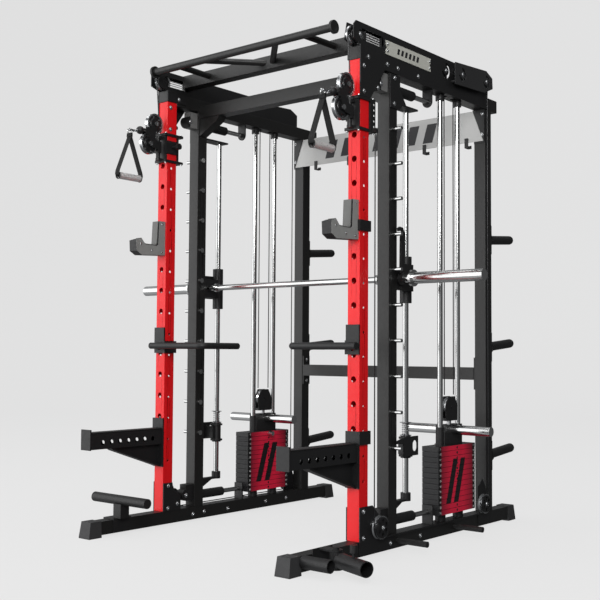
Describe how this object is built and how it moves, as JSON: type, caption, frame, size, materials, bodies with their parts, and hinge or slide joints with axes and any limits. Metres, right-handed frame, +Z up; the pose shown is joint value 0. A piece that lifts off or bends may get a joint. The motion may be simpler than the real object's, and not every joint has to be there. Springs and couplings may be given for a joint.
{
  "type": "smith machine",
  "caption": "Cable training rack with a guided barbell, weight stacks, adjustable cable arms and clip-on hooks, dip bars and safety arms.",
  "frame": {"origin": "on the floor, in the middle of the overall footprint", "axes": "+Z up, +X to the user's right when facing the machine, +Y towards its back"},
  "size_m": [2.014, 1.7858, 2.191],
  "materials": {
    "black_coat": "satin powder coat",
    "red_coat": "satin powder coat",
    "grey_coat": "satin powder coat",
    "chrome": "polished",
    "shaft_steel": "black sleeves on chrome shafts",
    "fastener_steel": "zinc plated",
    "brushed_panel": "brushed",
    "foot_rubber": "moulded",
    "stack_iron": "fine textured paint",
    "cable_jacket": "nylon jacket over steel",
    "pulley_nylon": "moulded nylon with a machined rim",
    "handle_mix": "knurled grip on webbing straps"
  },
  "bodies": {
    "frame": {"base_rails": "black_coat", "foot_pads": "foot_rubber", "front_uprights": "red_coat", "middle_uprights": "black_coat", "rear_uprights": "black_coat", "top_side_beams": "black_coat", "side_plates": "black_coat", "crossmembers": "black_coat", "pull_up_bar": "black_coat", "sign_panels": "brushed_panel", "header_brackets": "black_coat", "guide_rods": "chrome", "rod_brackets": "black_coat", "hook_pegs": "chrome", "storage_pegs": "foot_rubber", "foot_roller": "black_coat", "landmine_bracket": "black_coat", "weight_plates": "stack_iron", "stack_supports": "black_coat", "tension_shafts": "shaft_steel", "frame_bolts": "fastener_steel", "cables": "cable_jacket"},
    "carriages": {"carriages": "black_coat"},
    "bar": {"smith_bar": "chrome", "bar_hooks": "black_coat"},
    "top_front_pulleys": {"top_front_pulleys": "pulley_nylon"},
    "top_middle_pulleys": {"top_middle_pulleys": "pulley_nylon"},
    "top_stack_pulleys": {"top_stack_pulleys": "pulley_nylon"},
    "top_rear_pulleys": {"top_rear_pulleys": "pulley_nylon"},
    "low_front_pulleys": {"low_front_pulleys": "pulley_nylon"},
    "low_rear_pulleys": {"low_rear_pulleys": "pulley_nylon"},
    "left_bar_sleeve": {"left_bar_sleeve": "chrome"},
    "left_safety_stop": {"left_safety_stop": "black_coat", "left_stop_spring": "fastener_steel"},
    "left_j_hook": {"left_j_hook": "grey_coat"},
    "left_dip_bar": {"left_dip_bar": "black_coat"},
    "left_safety_arm": {"left_safety_arm": "black_coat"},
    "left_stack_head": {"left_stack_head": "black_coat"},
    "left_head_pulley": {"left_head_pulley": "pulley_nylon"},
    "left_selector_pin": {"left_selector_pin": "fastener_steel"},
    "left_trolley": {"left_trolley": "black_coat"},
    "left_swivel_arm": {"left_swivel_arm": "black_coat"},
    "left_upper_pulley": {"left_upper_pulley": "pulley_nylon"},
    "left_lower_pulley": {"left_lower_pulley": "pulley_nylon"},
    "left_handle": {"left_handle": "handle_mix"},
    "right_bar_sleeve": {"right_bar_sleeve": "chrome"},
    "right_safety_stop": {"right_safety_stop": "black_coat", "right_stop_spring": "fastener_steel"},
    "right_j_hook": {"right_j_hook": "grey_coat"},
    "right_dip_bar": {"right_dip_bar": "black_coat"},
    "right_safety_arm": {"right_safety_arm": "black_coat"},
    "right_stack_head": {"right_stack_head": "black_coat"},
    "right_head_pulley": {"right_head_pulley": "pulley_nylon"},
    "right_selector_pin": {"right_selector_pin": "fastener_steel"},
    "right_trolley": {"right_trolley": "black_coat"},
    "right_swivel_arm": {"right_swivel_arm": "black_coat"},
    "right_upper_pulley": {"right_upper_pulley": "pulley_nylon"},
    "right_lower_pulley": {"right_lower_pulley": "pulley_nylon"},
    "right_handle": {"right_handle": "handle_mix"},
    "landmine_tube": {"landmine_tube": "black_coat"}
  },
  "joints": [
    {"name": "carriage_slide", "type": "slide", "parent": "frame", "child": "carriages", "axis": [0, 0, 1], "range_m": [-0.51, 0.5]},
    {"name": "bar_twist", "type": "hinge", "parent": "carriages", "child": "bar", "pos_m": [0, -0.162, 1.143], "axis": [1, 0, 0], "range_deg": [-20, 5.5]},
    {"name": "cable_pulley_spin", "type": "hinge", "parent": "frame", "child": "top_front_pulleys", "pos_m": [0, -0.464, 2.127], "axis": [-1, 0, 0], "continuous": true},
    {"name": "top_middle_spin", "type": "hinge", "parent": "frame", "child": "top_middle_pulleys", "pos_m": [0, 0.2062, 2.125], "axis": [-1, 0, 0], "continuous": true},
    {"name": "top_stack_spin", "type": "hinge", "parent": "frame", "child": "top_stack_pulleys", "pos_m": [0, 0.31, 2.124], "axis": [-1, 0, 0], "continuous": true},
    {"name": "top_rear_spin", "type": "hinge", "parent": "frame", "child": "top_rear_pulleys", "pos_m": [0, 0.536, 2.138], "axis": [-1, 0, 0], "continuous": true},
    {"name": "low_front_spin", "type": "hinge", "parent": "frame", "child": "low_front_pulleys", "pos_m": [0, -0.328, 0.115], "axis": [-1, 0, 0], "continuous": true},
    {"name": "low_rear_spin", "type": "hinge", "parent": "frame", "child": "low_rear_pulleys", "pos_m": [0, 0.528, 0.115], "axis": [-1, 0, 0], "continuous": true},
    {"name": "left_sleeve_spin", "type": "hinge", "parent": "bar", "child": "left_bar_sleeve", "pos_m": [0, -0.162, 1.143], "axis": [1, 0, 0], "continuous": true},
    {"name": "left_safety_stop_slide", "type": "slide", "parent": "frame", "child": "left_safety_stop", "axis": [0, 0, 1], "range_m": [-0.14, 0.51]},
    {"name": "left_j_hook_swing", "type": "hinge", "parent": "frame", "child": "left_j_hook", "pos_m": [-0.573, -0.456, 1.418], "axis": [0, 1, 0], "range_deg": [0, 90]},
    {"name": "left_dip_bar_swing", "type": "hinge", "parent": "frame", "child": "left_dip_bar", "pos_m": [-0.573, -0.456, 0.918], "axis": [0, -1, 0], "range_deg": [0, 90]},
    {"name": "left_safety_arm_swing", "type": "hinge", "parent": "frame", "child": "left_safety_arm", "pos_m": [-0.573, -0.456, 0.418], "axis": [0, -1, 0], "range_deg": [0, 90]},
    {"name": "left_stack_lift", "type": "slide", "parent": "frame", "child": "left_stack_head", "axis": [0, 0, 1], "range_m": [0, 1.38]},
    {"name": "left_head_pulley_spin", "type": "hinge", "parent": "left_stack_head", "child": "left_head_pulley", "pos_m": [-0.573, 0.284, 0.58], "axis": [1, 0, 0], "continuous": true},
    {"name": "left_selector_pull", "type": "slide", "parent": "left_stack_head", "child": "left_selector_pin", "axis": [1, 0, 0], "range_m": [0, 0.05]},
    {"name": "left_trolley_slide", "type": "slide", "parent": "frame", "child": "left_trolley", "axis": [0, 0, 1], "range_m": [-0.2, 0]},
    {"name": "left_arm_swivel", "type": "hinge", "parent": "left_trolley", "child": "left_swivel_arm", "pos_m": [-0.573, -0.488, 1.8], "axis": [0, 0, 1], "range_deg": [-55, 55]},
    {"name": "left_upper_pulley_spin", "type": "hinge", "parent": "left_swivel_arm", "child": "left_upper_pulley", "pos_m": [-0.573, -0.514, 1.912], "axis": [-1, 0, 0], "continuous": true},
    {"name": "left_lower_pulley_spin", "type": "hinge", "parent": "left_swivel_arm", "child": "left_lower_pulley", "pos_m": [-0.573, -0.549, 1.812], "axis": [-1, 0, 0], "continuous": true},
    {"name": "left_handle_swing", "type": "hinge", "parent": "left_swivel_arm", "child": "left_handle", "pos_m": [-0.573, -0.666, 1.859], "axis": [1, 0, 0], "range_deg": [-60, 15]},
    {"name": "right_sleeve_spin", "type": "hinge", "parent": "bar", "child": "right_bar_sleeve", "pos_m": [0, -0.162, 1.143], "axis": [1, 0, 0], "continuous": true},
    {"name": "right_safety_stop_slide", "type": "slide", "parent": "frame", "child": "right_safety_stop", "axis": [0, 0, 1], "range_m": [-0.14, 0.51]},
    {"name": "right_j_hook_swing", "type": "hinge", "parent": "frame", "child": "right_j_hook", "pos_m": [0.573, -0.456, 1.418], "axis": [0, -1, 0], "range_deg": [0, 90]},
    {"name": "right_dip_bar_swing", "type": "hinge", "parent": "frame", "child": "right_dip_bar", "pos_m": [0.573, -0.456, 0.918], "axis": [0, 1, 0], "range_deg": [0, 90]},
    {"name": "right_safety_arm_swing", "type": "hinge", "parent": "frame", "child": "right_safety_arm", "pos_m": [0.573, -0.456, 0.418], "axis": [0, 1, 0], "range_deg": [0, 90]},
    {"name": "right_stack_lift", "type": "slide", "parent": "frame", "child": "right_stack_head", "axis": [0, 0, 1], "range_m": [0, 1.38]},
    {"name": "right_head_pulley_spin", "type": "hinge", "parent": "right_stack_head", "child": "right_head_pulley", "pos_m": [0.573, 0.284, 0.58], "axis": [1, 0, 0], "continuous": true},
    {"name": "right_selector_pull", "type": "slide", "parent": "right_stack_head", "child": "right_selector_pin", "axis": [-1, 0, 0], "range_m": [0, 0.05]},
    {"name": "right_trolley_slide", "type": "slide", "parent": "frame", "child": "right_trolley", "axis": [0, 0, 1], "range_m": [-0.2, 0]},
    {"name": "right_arm_swivel", "type": "hinge", "parent": "right_trolley", "child": "right_swivel_arm", "pos_m": [0.573, -0.488, 1.8], "axis": [0, 0, 1], "range_deg": [-55, 55]},
    {"name": "right_upper_pulley_spin", "type": "hinge", "parent": "right_swivel_arm", "child": "right_upper_pulley", "pos_m": [0.573, -0.514, 1.912], "axis": [-1, 0, 0], "continuous": true},
    {"name": "right_lower_pulley_spin", "type": "hinge", "parent": "right_swivel_arm", "child": "right_lower_pulley", "pos_m": [0.573, -0.549, 1.812], "axis": [-1, 0, 0], "continuous": true},
    {"name": "right_handle_swing", "type": "hinge", "parent": "right_swivel_arm", "child": "right_handle", "pos_m": [0.573, -0.666, 1.859], "axis": [1, 0, 0], "range_deg": [-60, 15]},
    {"name": "landmine_swivel", "type": "hinge", "parent": "frame", "child": "landmine_tube", "pos_m": [0.672, -0.696, 0.05], "axis": [0, 0, 1], "range_deg": [-12, 95]}
  ],
  "couplings": [
    {"joint": "top_middle_spin", "follows": "cable_pulley_spin", "ratio": 1},
    {"joint": "top_stack_spin", "follows": "cable_pulley_spin", "ratio": 1.1881},
    {"joint": "top_rear_spin", "follows": "cable_pulley_spin", "ratio": 1.118},
    {"joint": "low_front_spin", "follows": "cable_pulley_spin", "ratio": 0.8633},
    {"joint": "low_rear_spin", "follows": "cable_pulley_spin", "ratio": 0.9045},
    {"joint": "left_head_pulley_spin", "follows": "left_stack_lift", "rad_per_m": 25.063},
    {"joint": "left_upper_pulley_spin", "follows": "cable_pulley_spin", "ratio": -0.8257},
    {"joint": "left_lower_pulley_spin", "follows": "cable_pulley_spin", "ratio": 0.8257},
    {"joint": "right_head_pulley_spin", "follows": "right_stack_lift", "rad_per_m": 25.063},
    {"joint": "right_upper_pulley_spin", "follows": "cable_pulley_spin", "ratio": -0.8257},
    {"joint": "right_lower_pulley_spin", "follows": "cable_pulley_spin", "ratio": 0.8257}
  ]
}
